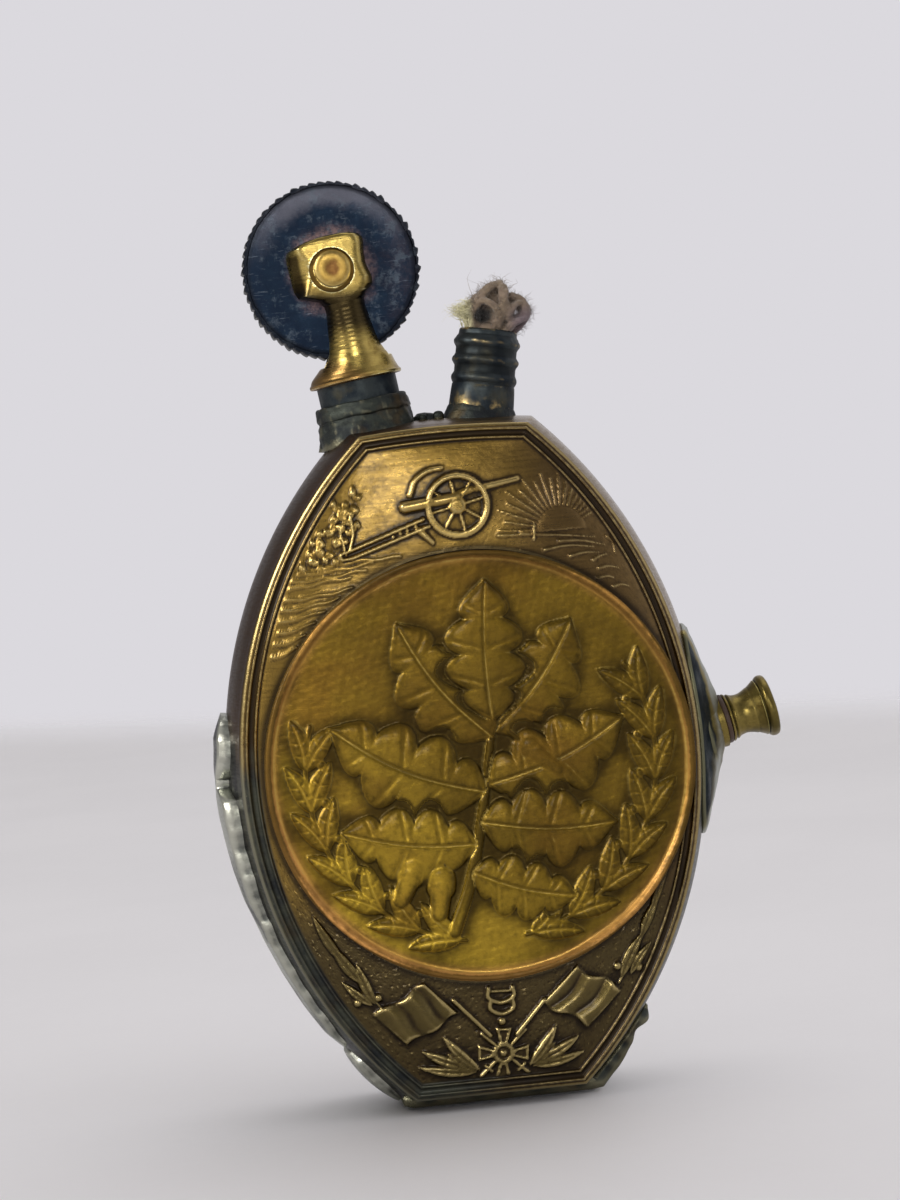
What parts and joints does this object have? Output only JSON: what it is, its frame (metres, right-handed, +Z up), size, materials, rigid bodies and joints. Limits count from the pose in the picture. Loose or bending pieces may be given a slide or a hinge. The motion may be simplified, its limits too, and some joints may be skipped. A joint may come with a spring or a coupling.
{
  "type": "trench lighter",
  "caption": "Free-standing soldered brass pocket lighter with a medal on each face, a toothed striking wheel in a fork, a wick tube and a screwed filler.",
  "frame": {"origin": "middle of the flat face that the lighter stands on", "axes": "+X to the right seen from the front, towards the filler; the front medal faces -Y; +Z up"},
  "size_m": [0.0479, 0.0148, 0.0775],
  "materials": {
    "case_brass": "aged stamped brass with dark patina in the recesses",
    "medal_bronze": "aged struck bronze, coppery rim",
    "tinned_strip": "tinned strip, worn bright on its edges",
    "solder": "dull oxidised soft solder",
    "dark_brass": "darkened brass tube",
    "bright_brass": "turned and polished brass",
    "knob_brass": "brown turned brass",
    "blued_steel": "blue-black hardened steel",
    "spring_steel": "plain spring wire",
    "flint": "sintered sparking alloy",
    "wick_cotton": "frayed undyed cotton wick",
    "packing_cotton": "loose cotton wadding",
    "gasket_leather": "oiled leather washer"
  },
  "bodies": {
    "tank": {"front_shell": "case_brass", "rear_shell": "case_brass", "front_medal": "medal_bronze", "rear_medal": "medal_bronze", "seam_strip": "tinned_strip", "corner_strip": "tinned_strip", "base_strip": "solder", "solder_bead": "solder", "filler_plate": "solder", "filler_bush": "knob_brass", "wick_tube": "dark_brass", "wick_tube_solder": "solder", "cotton_packing": "packing_cotton", "flint_tube": "dark_brass", "flint_tube_plug": "dark_brass", "flint_tube_solder": "solder", "flint_spring": "spring_steel"},
    "striker": {"striker_fork": "bright_brass", "axle_screw": "bright_brass"},
    "wheel": {"striker_wheel": "blued_steel"},
    "flint": {"flint": "flint"},
    "wick": {"wick": "wick_cotton"},
    "filler_seal": {"filler_gasket": "gasket_leather"},
    "filler_plug": {"filler_plug": "knob_brass"}
  },
  "joints": [
    {"name": "striker_unscrew", "type": "slide", "parent": "tank", "child": "striker", "axis": [-0.1374, 0, 0.9905], "range_m": [0, 0.012]},
    {"name": "wheel_spin", "type": "hinge", "parent": "striker", "child": "wheel", "pos_m": [-0.0077, 0, 0.06998], "axis": [0, 1, 0], "continuous": true},
    {"name": "flint_feed", "type": "slide", "parent": "tank", "child": "flint", "axis": [-0.1374, 0, 0.9905], "range_m": [-0.004, 0], "stiffness_N_per_m": 50, "springref_m": 0.006, "deforming": ["flint_spring"]},
    {"name": "wick_pull", "type": "slide", "parent": "tank", "child": "wick", "axis": [0.1805, 0, 0.9836], "range_m": [0, 0.008]},
    {"name": "filler_lift", "type": "slide", "parent": "tank", "child": "filler_seal", "axis": [0.9781, 0, 0.2079], "range_m": [0, 0.004]},
    {"name": "filler_turn", "type": "hinge", "parent": "filler_seal", "child": "filler_plug", "pos_m": [0.02235, 0, 0.02968], "axis": [0.9781, 0, 0.2079], "range_deg": [0, 1440]}
  ],
  "couplings": [
    {"joint": "filler_turn", "follows": "filler_lift", "rad_per_m": 6283.2}
  ]
}
